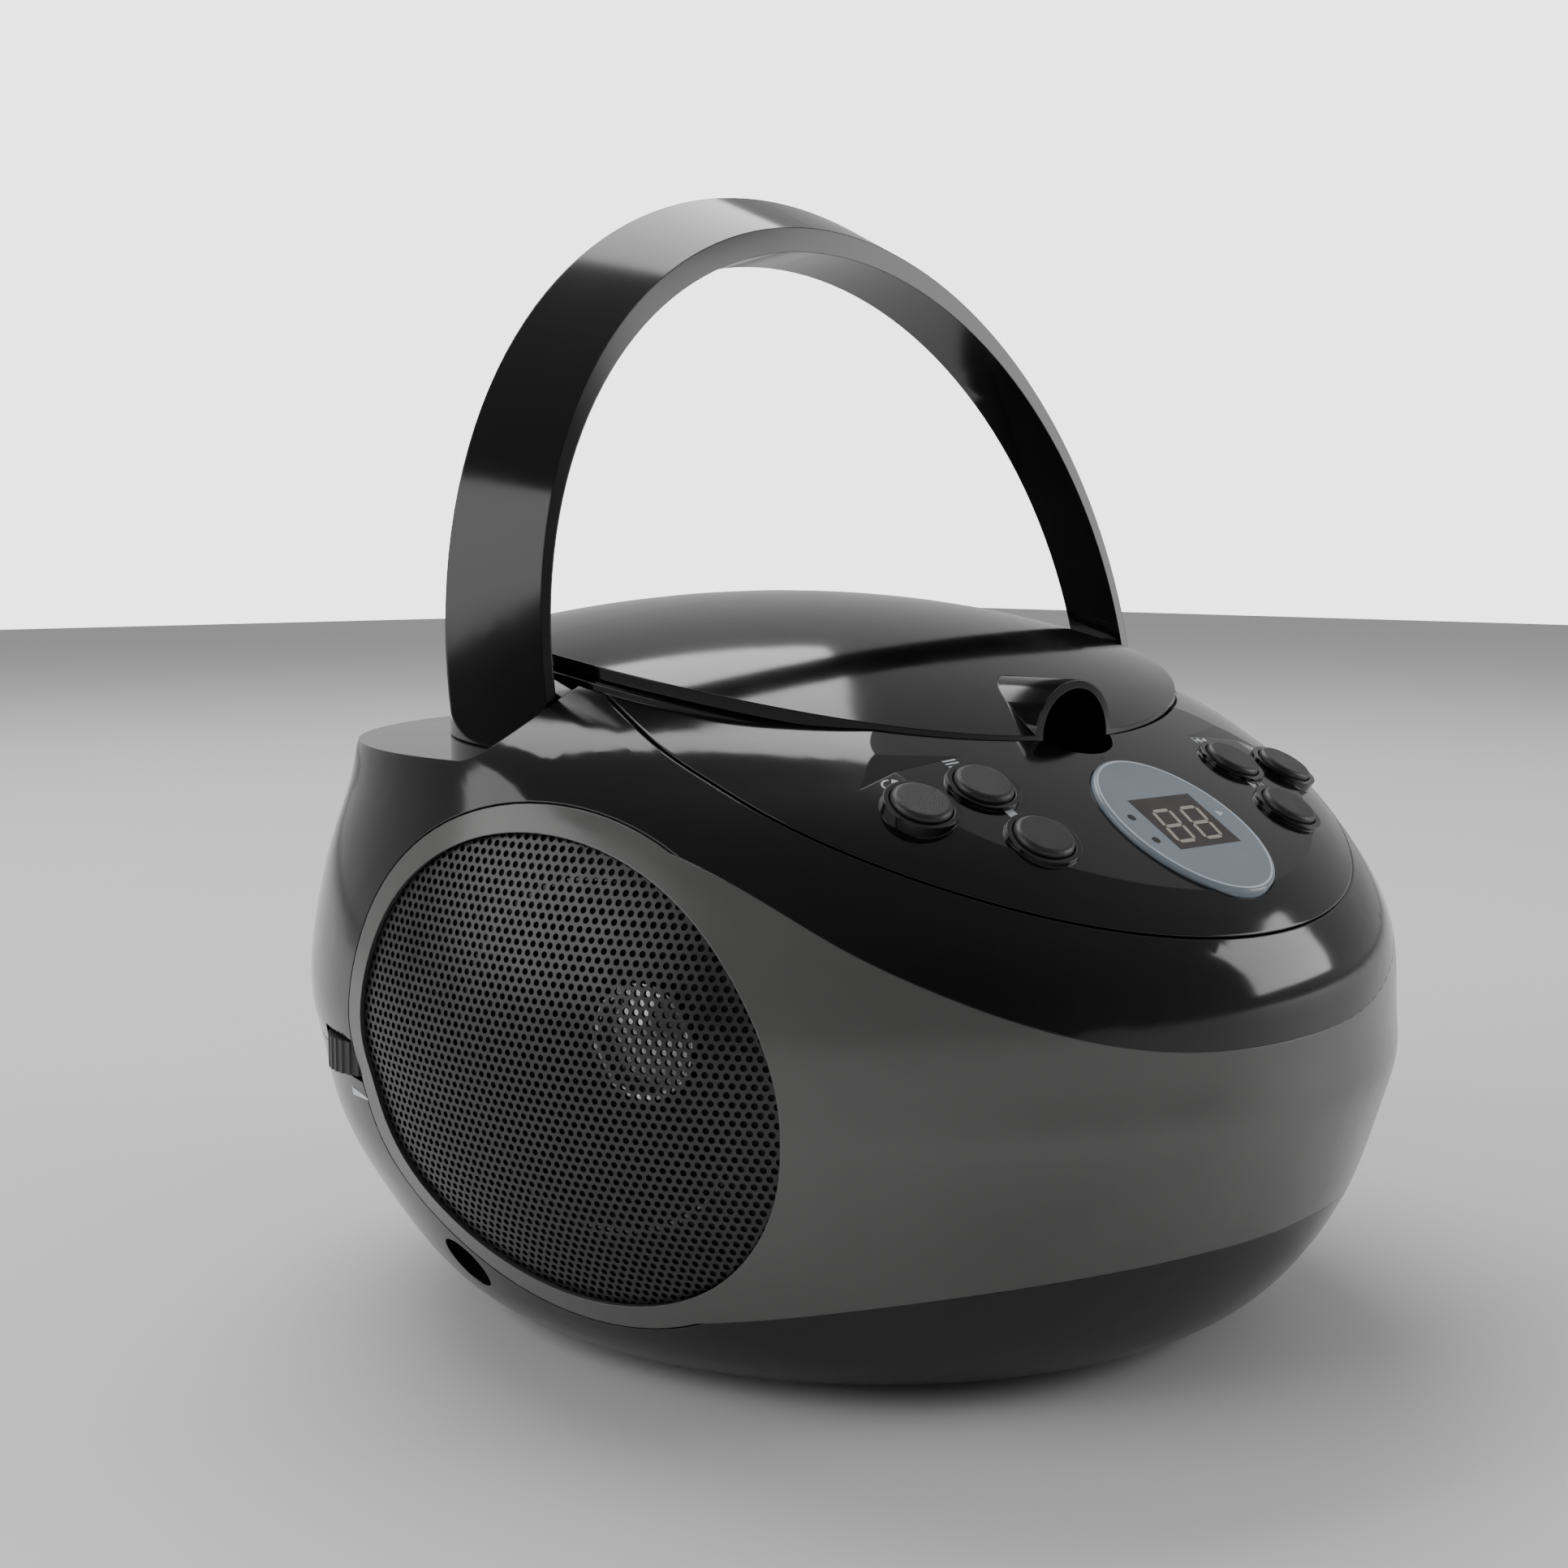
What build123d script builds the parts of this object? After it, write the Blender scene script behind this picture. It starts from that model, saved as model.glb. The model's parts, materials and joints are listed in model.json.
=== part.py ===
from build123d import *
import math
import os

os.makedirs("parts", exist_ok=True)

# ---------------------------------------------------------------- driving dimensions
# millimetres; X to the set's right, Y to its back, Z up, origin on the floor under the middle

# outer moulded form, level by level: height, half width, reach to the front, reach to the back
FORM = [
    (2.2, 82, 88.5, 82.5),
    (5, 90, 97, 89.5),
    (10, 96.5, 103.8, 95.8),
    (18, 103, 110.8, 103.3),
    (30, 110.5, 117.8, 112),
    (46, 117.5, 123, 120),
    (66, 121, 126.3, 126.3),
    (84, 120, 125, 126.1),
    (96, 117.5, 119.5, 123),
    (106, 114.5, 111, 118.4),
    (114, 111.5, 102, 114.2),
    (121, 109, 90, 111),
    (127, 106, 78, 107.8),
    (132, 102, 66, 104.6),
    (138, 96, 51, 100),
    (144, 88, 32, 94),
    (150, 75, 8, 84),
    (155, 52, -18, 66),
]
WALL = 2.8
SPLIT_Z = 61.0
SEAM = 0.35

# sloping control panel and domed top: barrel surfaces about axes along X
SLOPE_R, SLOPE_CROWN, SLOPE_Y, SLOPE_Z = 420.0, 450.0, 120.3, -246.2
DOME_R, DOME_CROWN, DOME_Y, DOME_Z = 175.0, 330.0, 25.0, -18.0

# groove between the top panel and the upper shell
GROOVE_Y, GROOVE_Z, GROOVE_TILT = -30.6, 131.8, 22.8

# raised block inside the handle, and the ledge that the folded handle lies on
BLOCK_A, BLOCK_B, BLOCK_Y = 87.3, 95.0, 2.5
LEDGE_Z = 124.7
LEDGE_FRONT = -9.7

# carrying handle
PIVOT_Y, PIVOT_Z = 2.7, 135.5
HANDLE_LEAN = 10.8
HANDLE_FRONT, HANDLE_BACK = -11.5, 6.5
HANDLE_FRONT_A, HANDLE_FRONT_H = 90.4, 104.3
HANDLE_BACK_A, HANDLE_BACK_H = 101.8, 116.7
IN_FRONT_A, IN_FRONT_H = 88.0, 98.5
IN_BACK_A, IN_BACK_H = 90.4, 100.2
LEG_MIDDLE = (HANDLE_FRONT + HANDLE_BACK) / 2
LEG_END_R = (HANDLE_BACK - HANDLE_FRONT) / 2
NOTCH_Y = PIVOT_Y + LEG_MIDDLE
PIN_R = 4.0

# loudspeakers
SPK_TURN = 70.0
SPK_Z = 67.0
SPK_T = 5.0
OPEN_A, OPEN_B, OPEN_ROLL = 52.0, 44.5, 24.0
RING_A, RING_B = 57.2, 49.8
BAFFLE_AX = 98.0

# compact disc bay
WELL_Y, WELL_R, WELL_Z = -2.0, 62.5, 119.0
DECK_Z = 123.0
LID_A, LID_FRONT, LID_BACK = 82.0, 70.5, 63.0
HINGE_Y, HINGE_Z, HINGE_PIN_R = 63.0, 146.5, 1.5

# control panel
BUTTON_R, BUTTON_HOLE, BEZEL_R, BUTTON_PROUD = 6.1, 6.4, 7.6, 1.9
BUTTON_SPOTS = {
    "repeat_button": (-56.0, -81.3),
    "program_button": (-38.5, -80.6),
    "stop_button": (-38.0, -95.9),
    "play_button": (38.0, -95.9),
    "rewind_button": (38.5, -80.6),
    "forward_button": (56.0, -81.3),
}
DISPLAY_Y, DISPLAY_A, DISPLAY_B = -98.6, 17.4, 21.6

# side wheels, sockets and rear fittings
WHEEL_R, WHEEL_H, WHEEL_Z = 15.0, 7.0, 61.4
WHEEL_TURN = 105.0
WHEEL_OUT = 107.6
JACK_TURN, JACK_Z = 91.2, 19.6
INLET_Z = 74.0
FOOT_R, FOOT_H = 8.0, 2.2
FOOT_X, FOOT_Y = 50.0, 50.0
DOOR_X, DOOR_LOW, DOOR_HIGH = 60.0, 14.0, 55.0
BOARD_Z, BOARD_T = 9.0, 1.6
BOARD_POSTS = [(-56.0, -50.0), (22.0, -58.0), (-56.0, 30.0), (22.0, 30.0)]


def surface_z(x, y, centre_y, centre_z, radius, crown):
    return centre_z + math.sqrt(radius**2 - (y - centre_y) ** 2) - x * x / (2 * crown)


def panel_z(x, y):
    return surface_z(x, y, SLOPE_Y, SLOPE_Z, SLOPE_R, SLOPE_CROWN)


def panel_plane(x, y):
    """Plane on the sloping panel at x, y: its z axis is the surface's outward normal."""
    ny = (y - SLOPE_Y) / SLOPE_R
    normal = Vector(x / SLOPE_CROWN, ny, math.sqrt(1 - ny * ny)).normalized()
    along = Vector(normal.Z, 0, -normal.X).normalized()
    return Plane(origin=(x, y, panel_z(x, y)), x_dir=along, z_dir=normal)


def body_form(inset, top=None):
    """Outer form moved inward by inset, measured square to the wall."""
    with BuildPart() as form:
        for i, (z, half, front, rear) in enumerate(FORM):
            if top is not None and z > top:
                continue
            lo = FORM[max(i - 1, 0)]
            hi = FORM[min(i + 1, len(FORM) - 1)]
            lean = (hi[1] - lo[1]) / (hi[0] - lo[0])
            lean_f = (hi[2] - lo[2]) / (hi[0] - lo[0])
            side = inset * min(math.sqrt(1 + lean * lean), 2.6)
            face = inset * min(math.sqrt(1 + lean_f * lean_f), 2.6)
            height = z + (inset if i == 0 else 0)
            f, r = front - face, rear - side
            with BuildSketch(Plane.XY.offset(height)):
                with Locations((0, (r - f) / 2)):
                    Ellipse(half - side, (f + r) / 2)
        loft()
    return form.part


def barrel(radius, crown, centre_y, centre_z, drop, reach=140):
    """Solid under a barrel surface, whose axis lies along X."""
    r = radius - drop
    edge = r - reach * reach / (2 * crown)
    with BuildPart() as solid:
        with BuildSketch(Plane((0, centre_y, centre_z), x_dir=(1, 0, 0), z_dir=(0, -1, 0))):
            with BuildLine():
                Polyline((-reach, edge), (-reach, 0), (reach, 0), (reach, edge))
                ThreePointArc((reach, edge), (0, r), (-reach, edge))
            make_face()
        revolve(axis=Axis((0, centre_y, centre_z), (1, 0, 0)))
    return solid.part


def speaker_plane(side, distance):
    """Plane square to a loudspeaker's axis; side is -1 for left, 1 for right."""
    turn = math.radians(SPK_TURN)
    out = Vector(side * math.sin(turn), -math.cos(turn), 0)
    toward_front = Vector(-side * math.cos(turn), -math.sin(turn), 0)
    origin = out * distance - toward_front * SPK_T + Vector(0, 0, SPK_Z)
    x_dir = toward_front if side < 0 else toward_front * -1
    return Plane(origin=origin, x_dir=x_dir, z_dir=out)


def box_between(lo, hi):
    with BuildPart() as block:
        with Locations(((lo[0] + hi[0]) / 2, (lo[1] + hi[1]) / 2, (lo[2] + hi[2]) / 2)):
            Box(hi[0] - lo[0], hi[1] - lo[1], hi[2] - lo[2])
    return block.part


def speaker_prism(side, a, b, start, length):
    """Oval prism along a loudspeaker's axis."""
    with BuildPart() as prism:
        with BuildSketch(speaker_plane(side, start)):
            Ellipse(a, b, rotation=OPEN_ROLL * side)
        extrude(amount=length)
    return prism.part


# ---------------------------------------------------------------- shared forms
outer = body_form(0)
inner = body_form(WALL)
slope_solid = barrel(SLOPE_R, SLOPE_CROWN, SLOPE_Y, SLOPE_Z, 0)
slope_under = barrel(SLOPE_R, SLOPE_CROWN, SLOPE_Y, SLOPE_Z, WALL)
dome_solid = barrel(DOME_R, DOME_CROWN, DOME_Y, DOME_Z, 0)
dome_under = barrel(DOME_R, DOME_CROWN, DOME_Y, DOME_Z, WALL)
in_front = box_between((-160, -200, 0), (160, -71, 200))

with BuildPart() as dome_limit:
    add(dome_solid)
    add(in_front)

with BuildPart() as dome_limit_under:
    add(dome_under)
    add(in_front)


def block_prism(inset, low, y_from):
    """Rounded block inside the handle, above height low and behind y_from."""
    with BuildPart() as block:
        with BuildSketch(Plane.XY.offset(low)):
            with Locations((0, BLOCK_Y)):
                Ellipse(BLOCK_A - inset, BLOCK_B - inset)
            with Locations((0, (y_from + BLOCK_Y) / 2)):
                Rectangle(2 * (BLOCK_A - inset), BLOCK_Y - y_from)
            with Locations((0, y_from - 100)):
                Rectangle(300, 200, mode=Mode.SUBTRACT)
        extrude(amount=60)
    return block.part


def panel_region(grow):
    """Space above the groove in front of the handle, and the block behind it."""
    with BuildPart() as region:
        place = Location((0, GROOVE_Y, GROOVE_Z), (GROOVE_TILT, 0, 0))
        with Locations(place * Location((0, 0, -grow))):
            Box(300, 260, 90, align=(Align.CENTER, Align.CENTER, Align.MIN))
        add(box_between((-200, -250, 0), (200, LEDGE_FRONT + grow, 250)), mode=Mode.INTERSECT)
        add(block_prism(-grow, LEDGE_Z + 0.3 - grow, LEDGE_FRONT))
    return region.part


def lid_outline(grow):
    """Sketch of the lid: rounded front, straight hinge side."""
    with BuildSketch() as shape:
        with Locations((0, 2)):
            Ellipse(LID_A + grow, LID_FRONT + 2 + grow)
        with Locations((0, 2 + (LID_BACK - 2 + grow) / 2)):
            Rectangle(2 * (LID_A + grow), LID_BACK - 2 + grow)
        with Locations((0, LID_BACK + grow + 100)):
            Rectangle(300, 200, mode=Mode.SUBTRACT)
        with Locations((0, BLOCK_Y)):
            Ellipse(BLOCK_A - 4 + grow, BLOCK_B - 4 + grow, mode=Mode.INTERSECT)
    return shape.sketch


def lid_prism(grow, low, high):
    with BuildPart() as prism:
        with BuildSketch(Plane.XY.offset(low)):
            add(lid_outline(grow))
        extrude(amount=high - low)
    return prism.part


# ---------------------------------------------------------------- front mask region
with BuildPart() as band_prism:
    with BuildSketch(Plane.XZ):
        with BuildLine():
            top_half = [(96, 111.5), (89, 104.5), (81, 95.5), (73, 89.6), (62, 83.8), (49, 79), (33, 75.4)]
            low_half = [(96, 17.5), (88, 21.5), (76, 26), (58, 29.8), (30, 32.2)]
            Spline([(-x, z) for x, z in top_half] + [(0, 73.4)] + [(x, z) for x, z in reversed(top_half)])
            Line((96, 111.5), (96, 17.5))
            Spline([(x, z) for x, z in low_half] + [(0, 32.8)] + [(-x, z) for x, z in reversed(low_half)])
            Line((-96, 17.5), (-96, 111.5))
        make_face()
    extrude(amount=150)
    add(box_between((-150, -40, 0), (150, 10, 200)), mode=Mode.SUBTRACT)


def mask_region(grow):
    with BuildPart() as region:
        add(band_prism.part)
        for side in (-1, 1):
            add(speaker_prism(side, RING_A + grow, RING_B + grow, 60, 90))
    return region.part


mask_space = mask_region(0)

# ---------------------------------------------------------------- housings
with BuildPart() as ledge_cut:
    add(box_between((-140, NOTCH_Y, LEDGE_Z), (140, 160, 175)))
    add(box_between((-140, LEDGE_FRONT, PIVOT_Z), (140, NOTCH_Y + 1, 175)))
    with BuildSketch(Plane.YZ.offset(-140)):
        with Locations((NOTCH_Y, PIVOT_Z)):
            Ellipse(NOTCH_Y - LEDGE_FRONT, PIVOT_Z - LEDGE_Z)
    extrude(amount=280)
    add(block_prism(0, LEDGE_Z - 3, LEDGE_FRONT), mode=Mode.SUBTRACT)

with BuildPart() as ledge_floor:
    add(box_between((-140, LEDGE_FRONT - 2.6, LEDGE_Z - 2.7), (140, 160, 200)))
    add(block_prism(2.5, LEDGE_Z - 4, LEDGE_FRONT - 2.6), mode=Mode.SUBTRACT)

with BuildPart() as housing_room:
    add(inner)
    add(slope_under, mode=Mode.INTERSECT)
    add(ledge_floor.part, mode=Mode.SUBTRACT)

with BuildPart() as shell_solid:
    add(outer)
    add(slope_solid, mode=Mode.INTERSECT)
    add(housing_room.part, mode=Mode.SUBTRACT)
    add(ledge_cut.part, mode=Mode.SUBTRACT)
    add(panel_region(SEAM), mode=Mode.SUBTRACT)

# wheel pockets, sockets and other openings in the housings

def ring_spot(turn, radius):
    """Point on a circle about the middle, turn degrees round from the front towards the left."""
    t = math.radians(turn)
    return (-radius * math.sin(t), -radius * math.cos(t))


def side_plane(turn, radius, height, droop=0.0):
    """Upright plane facing outward at a turn from the front towards the left."""
    t = math.radians(turn)
    d = math.radians(droop)
    out = Vector(-math.sin(t) * math.cos(d), -math.cos(t) * math.cos(d), -math.sin(d))
    along = Vector(math.cos(t), -math.sin(t), 0)
    x, y = ring_spot(turn, radius)
    return Plane(origin=(x, y, height), x_dir=along, z_dir=out)


wheel_spots = {-1: ring_spot(WHEEL_TURN, WHEEL_OUT), 1: ring_spot(-WHEEL_TURN, WHEEL_OUT)}

with BuildPart() as wheel_slots:
    for side in (-1, 1):
        with BuildSketch(Plane.XY.offset(WHEEL_Z - WHEEL_H / 2 - 0.9)):
            with Locations(wheel_spots[side]):
                Circle(WHEEL_R + 1.2)
        extrude(amount=WHEEL_H + 1.8)

jack_plane = side_plane(JACK_TURN, 105, JACK_Z, 28)
with BuildPart() as jack_hole:
    with BuildSketch(jack_plane):
        Circle(6.6)
    extrude(amount=-14, both=True)

with BuildPart() as door_hole:
    add(box_between((-DOOR_X, 70, DOOR_LOW), (DOOR_X, 140, DOOR_HIGH)))

inlet_plane = Plane(origin=(0, 117.5, INLET_Z), x_dir=(-1, 0, 0), z_dir=(0, 1, 0))
with BuildPart() as inlet_hole:
    with BuildSketch(inlet_plane):
        RectangleRounded(17, 10, 3)
    extrude(amount=16, both=True)

SWITCH_TURN, SWITCH_Z = 180 + 20, 92.0
switch_plane = side_plane(SWITCH_TURN, 121.6, SWITCH_Z)
with BuildPart() as switch_hole:
    with BuildSketch(switch_plane):
        Rectangle(24, 5.4)
    extrude(amount=-14, both=True)

FRONT_SCREWS = [(-50.0, -75.0), (50.0, -75.0)]
REAR_SCREWS = [(-68.0, 68.0), (68.0, 68.0)]
SCREW_SPOTS = FRONT_SCREWS + REAR_SCREWS
BOSS_LOW, BOSS_HIGH = 12.0, 24.0

with BuildPart() as upper_pillars:
    with BuildSketch(Plane.XY.offset(BOSS_HIGH + 0.2)):
        with Locations(*FRONT_SCREWS):
            Circle(4.8)
    extrude(amount=68)
    with BuildSketch(Plane.XY.offset(BOSS_HIGH + 0.2)):
        with Locations(*REAR_SCREWS):
            Circle(4.8)
    extrude(amount=LEDGE_Z - 2 - BOSS_HIGH)
    for side in (-1, 1):
        add(box_between((side * 50 - 1.3, -116, 83), (side * 50 + 1.3, -75, 91)))
    add(outer, mode=Mode.INTERSECT)
    with BuildSketch(Plane.XY.offset(BOSS_HIGH)):
        with Locations(*SCREW_SPOTS):
            Circle(1.55)
    extrude(amount=14, mode=Mode.SUBTRACT)

with BuildPart() as screw_bosses:
    with BuildSketch(Plane.XY.offset(2)):
        with Locations(*SCREW_SPOTS):
            Circle(4.8)
    extrude(amount=BOSS_HIGH - 2)
    add(outer, mode=Mode.INTERSECT)

with BuildPart() as lower_housing:
    add(shell_solid.part)
    add(box_between((-150, -150, -10), (150, 150, SPLIT_Z)), mode=Mode.INTERSECT)
    add(screw_bosses.part)
    with BuildSketch(Plane.XY.offset(4)):
        with Locations(*BOARD_POSTS):
            Circle(3)
    extrude(amount=BOARD_Z - 4)
    add(mask_region(SEAM), mode=Mode.SUBTRACT)
    add(wheel_slots.part, mode=Mode.SUBTRACT)
    add(jack_hole.part, mode=Mode.SUBTRACT)
    add(door_hole.part, mode=Mode.SUBTRACT)
    with BuildSketch(Plane.XY.offset(-1)):
        with Locations(*SCREW_SPOTS):
            Circle(1.75)
    extrude(amount=40, mode=Mode.SUBTRACT)
    with BuildSketch(Plane.XY.offset(-1)):
        with Locations(*SCREW_SPOTS):
            Circle(3.6)
    extrude(amount=BOSS_LOW + 5, mode=Mode.SUBTRACT)

with BuildPart() as upper_housing:
    add(shell_solid.part)
    add(box_between((-150, -150, SPLIT_Z + 0.3), (150, 150, 200)), mode=Mode.INTERSECT)
    add(mask_region(SEAM), mode=Mode.SUBTRACT)
    add(wheel_slots.part, mode=Mode.SUBTRACT)
    add(switch_hole.part, mode=Mode.SUBTRACT)
    add(inlet_hole.part, mode=Mode.SUBTRACT)
    add(lid_prism(2, DECK_Z - 3, 160), mode=Mode.SUBTRACT)
    add(upper_pillars.part)

with BuildPart() as front_mask:
    add(shell_solid.part)
    add(mask_space, mode=Mode.INTERSECT)
    add(wheel_slots.part, mode=Mode.SUBTRACT)
    for side in (-1, 1):
        add(speaker_prism(side, OPEN_A, OPEN_B, 50, 100), mode=Mode.SUBTRACT)

# ---------------------------------------------------------------- top panel
with BuildPart() as panel_room:
    add(inner)
    add(slope_under, mode=Mode.INTERSECT)
    add(dome_limit_under.part, mode=Mode.INTERSECT)
    add(box_between((-200, -200, 0), (200, LEDGE_FRONT - 2.6, 250)), mode=Mode.INTERSECT)

with BuildPart() as block_room:
    add(block_prism(2.6, LEDGE_Z - 5, LEDGE_FRONT - 2.6))
    add(dome_under, mode=Mode.INTERSECT)
    add(slope_under, mode=Mode.INTERSECT)


LID_SKIN = 2.4
SEAT_DROP = LID_SKIN + 0.4
seat_solid = barrel(DOME_R, DOME_CROWN, DOME_Y, DOME_Z, SEAT_DROP)

with BuildPart() as seat_cut:
    add(lid_prism(0.5, 90, 190))
    add(seat_solid, mode=Mode.SUBTRACT)

with BuildPart() as tray_outside:
    add(lid_prism(1.6, 105, 160))
    add(seat_solid, mode=Mode.INTERSECT)
    add(box_between((-120, -120, DECK_Z - 2.4), (120, 120, 200)), mode=Mode.INTERSECT)

with BuildPart() as tray_inside:
    add(lid_prism(-2.6, DECK_Z, 190))
    with BuildSketch(Plane.XY.offset(WELL_Z)):
        with Locations((0, WELL_Y)):
            Circle(WELL_R)
    extrude(amount=60)

with BuildPart() as hinge_pockets:
    for side in (-1, 1):
        add(box_between((side * 22.5 - 7.5, 54, HINGE_Z - 5), (side * 22.5 + 7.5, 67, 170)))

with BuildPart() as scoop_wall:
    with Locations((0, -67, 133)):
        Sphere(14.4)
    add(slope_solid, mode=Mode.INTERSECT)
    add(box_between((-20, -90, 110), (20, -60, 150)), mode=Mode.INTERSECT)

with BuildPart() as scoop:
    with Locations((0, -67, 133)):
        Sphere(12.2)

display_plane = panel_plane(0, DISPLAY_Y)

with BuildPart() as top_panel:
    add(outer)
    add(slope_solid, mode=Mode.INTERSECT)
    add(dome_limit.part, mode=Mode.INTERSECT)
    add(panel_region(0), mode=Mode.INTERSECT)
    add(panel_room.part, mode=Mode.SUBTRACT)
    add(block_room.part, mode=Mode.SUBTRACT)
    add(tray_outside.part)
    with BuildSketch(Plane.XY.offset(WELL_Z - 2.4)):
        with Locations((0, WELL_Y)):
            Circle(WELL_R + 2.2)
    extrude(amount=4)
    add(scoop_wall.part)
    add(seat_cut.part, mode=Mode.SUBTRACT)
    add(box_between((-62, LID_BACK, 150 - SEAT_DROP), (62, LID_BACK + 2.6, 170)), mode=Mode.SUBTRACT)
    add(tray_inside.part, mode=Mode.SUBTRACT)
    add(scoop.part, mode=Mode.SUBTRACT)
    add(hinge_pockets.part, mode=Mode.SUBTRACT)
    for side in (-1, 1):
        add(box_between((side * 24.3 - 2, 60.3, HINGE_Z - 5.5), (side * 24.3 + 2, 68, HINGE_Z + 2.6)))
    with BuildSketch(Plane.YZ.offset(-40)):
        with Locations((HINGE_Y, HINGE_Z)):
            Circle(HINGE_PIN_R + 0.08)
    extrude(amount=80, mode=Mode.SUBTRACT)
    with BuildSketch(Plane.YZ.offset(-95)):
        with Locations((PIVOT_Y, PIVOT_Z)):
            Circle(PIN_R + 0.08)
    extrude(amount=11, mode=Mode.SUBTRACT)
    with BuildSketch(Plane.YZ.offset(84)):
        with Locations((PIVOT_Y, PIVOT_Z)):
            Circle(PIN_R + 0.08)
    extrude(amount=11, mode=Mode.SUBTRACT)
    for x, y in BUTTON_SPOTS.values():
        with BuildSketch(panel_plane(x, y).offset(-2)):
            Circle(BEZEL_R)
        extrude(amount=2.7)
        with BuildSketch(panel_plane(x, y).offset(-8)):
            Circle(BUTTON_HOLE)
        extrude(amount=12, mode=Mode.SUBTRACT)
        with BuildSketch(panel_plane(x, y).offset(-9)):
            Circle(7.4)
        extrude(amount=6.1, mode=Mode.SUBTRACT)
    with BuildSketch(display_plane.offset(-1.8)):
        Ellipse(DISPLAY_A + 0.25, DISPLAY_B + 0.25)
    extrude(amount=6, mode=Mode.SUBTRACT)
    with BuildSketch(display_plane.offset(-8)):
        Ellipse(DISPLAY_A - 1.6, DISPLAY_B - 1.6)
    extrude(amount=8, mode=Mode.SUBTRACT)
    with BuildSketch(Plane.XY.offset(WELL_Z - 8)):
        with Locations((0, WELL_Y)):
            Circle(18.5)
        with Locations((0, WELL_Y + 30)):
            Rectangle(37, 60)
    extrude(amount=10, mode=Mode.SUBTRACT)

# ---------------------------------------------------------------- disc lid
lid_under = barrel(DOME_R, DOME_CROWN, DOME_Y, DOME_Z, LID_SKIN)
HOOD_Z, HOOD_OUT, HOOD_IN = 128.4, 11.6, 9.8

with BuildPart() as hood:
    with BuildSketch(Plane.XZ.offset(46)):
        with Locations((0, HOOD_Z)):
            Circle(HOOD_OUT)
    extrude(amount=LID_FRONT - 46)
    add(lid_under, mode=Mode.SUBTRACT)
    add(lid_prism(0, 90, 190), mode=Mode.INTERSECT)

with BuildPart() as cd_lid:
    add(lid_prism(0, 90, 190))
    add(dome_solid, mode=Mode.INTERSECT)
    add(lid_under, mode=Mode.SUBTRACT)
    add(hood.part)
    with BuildSketch(Plane.XZ.offset(54)):
        with Locations((0, HOOD_Z)):
            Circle(HOOD_IN)
    extrude(amount=30, mode=Mode.SUBTRACT)
    for side in (-1, 1):
        add(box_between((side * 20 - 2, HINGE_Y - 2.4, HINGE_Z), (side * 20 + 2, HINGE_Y - 0.2, 150.5)))
        with BuildSketch(Plane.YZ.offset(side * 20 - 2)):
            with Locations((HINGE_Y, HINGE_Z)):
                Circle(2.4)
        extrude(amount=4)
        with BuildSketch(Plane.YZ.offset(side * 20)):
            with Locations((HINGE_Y, HINGE_Z)):
                Circle(HINGE_PIN_R)
        extrude(amount=side * 6.2)

# ---------------------------------------------------------------- carrying handle
handle_plane = Plane(origin=(0, PIVOT_Y, PIVOT_Z), x_dir=(1, 0, 0), z_dir=(0, -1, 0))


def arch_face(half, height, low):
    """Half ellipse on straight legs that end low below the pivot, drawn in the open sketch."""
    Ellipse(half, height)
    with Locations((0, -height)):
        Rectangle(2 * half, 2 * height, mode=Mode.SUBTRACT)
    with Locations((0, -low / 2)):
        Rectangle(2 * half, low)


with BuildPart() as arch_outside:
    with BuildSketch(handle_plane.offset(-HANDLE_FRONT)):
        arch_face(HANDLE_FRONT_A, HANDLE_FRONT_H, LEG_END_R)
    with BuildSketch(handle_plane.offset(-HANDLE_BACK)):
        arch_face(HANDLE_BACK_A, HANDLE_BACK_H, LEG_END_R)
    loft()

with BuildPart() as arch_inside:
    for depth in (HANDLE_FRONT - 10, HANDLE_BACK + 10):
        share = (depth - HANDLE_FRONT) / (HANDLE_BACK - HANDLE_FRONT)
        half = IN_FRONT_A + share * (IN_BACK_A - IN_FRONT_A)
        height = IN_FRONT_H + share * (IN_BACK_H - IN_FRONT_H)
        with BuildSketch(handle_plane.offset(-depth)):
            arch_face(half, height, 30)
    loft()

with BuildPart() as leg_limit:
    add(box_between((-140, PIVOT_Y - 40, PIVOT_Z), (140, PIVOT_Y + 40, 300)))
    with BuildSketch(Plane.YZ.offset(-140)):
        with Locations((NOTCH_Y, PIVOT_Z)):
            Circle(LEG_END_R)
    extrude(amount=280)

with BuildPart() as handle_upright:
    add(arch_outside.part)
    add(arch_inside.part, mode=Mode.SUBTRACT)
    add(leg_limit.part, mode=Mode.INTERSECT)
    with BuildSketch(Plane.YZ.offset(84.3)):
        with Locations((PIVOT_Y, PIVOT_Z)):
            Circle(PIN_R)
    extrude(amount=8)
    with BuildSketch(Plane.YZ.offset(-92.3)):
        with Locations((PIVOT_Y, PIVOT_Z)):
            Circle(PIN_R)
    extrude(amount=8)

with BuildPart() as handle:
    add(handle_upright.part.rotate(Axis((0, PIVOT_Y, PIVOT_Z), (1, 0, 0)), -HANDLE_LEAN))

# ---------------------------------------------------------------- buttons, display and control board
control_plane = panel_plane(0, -88).offset(-16)
buttons = {}
for label, (x, y) in BUTTON_SPOTS.items():
    reach = 7.8 if abs(x) > 50 else 9.7
    with BuildPart() as button:
        with BuildSketch(panel_plane(x, y).offset(-4.3)):
            Circle(6.9)
        extrude(amount=1)
        with BuildSketch(panel_plane(x, y).offset(-3.6)):
            Circle(BUTTON_R)
        extrude(amount=3.6 + BUTTON_PROUD)
        fillet(button.edges().filter_by(GeomType.CIRCLE).sort_by(Axis.Z)[-1], 1.1)
        with BuildSketch(panel_plane(x, y).offset(-reach)):
            Circle(1.9)
        extrude(amount=reach - 4)
    buttons[label] = button

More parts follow.
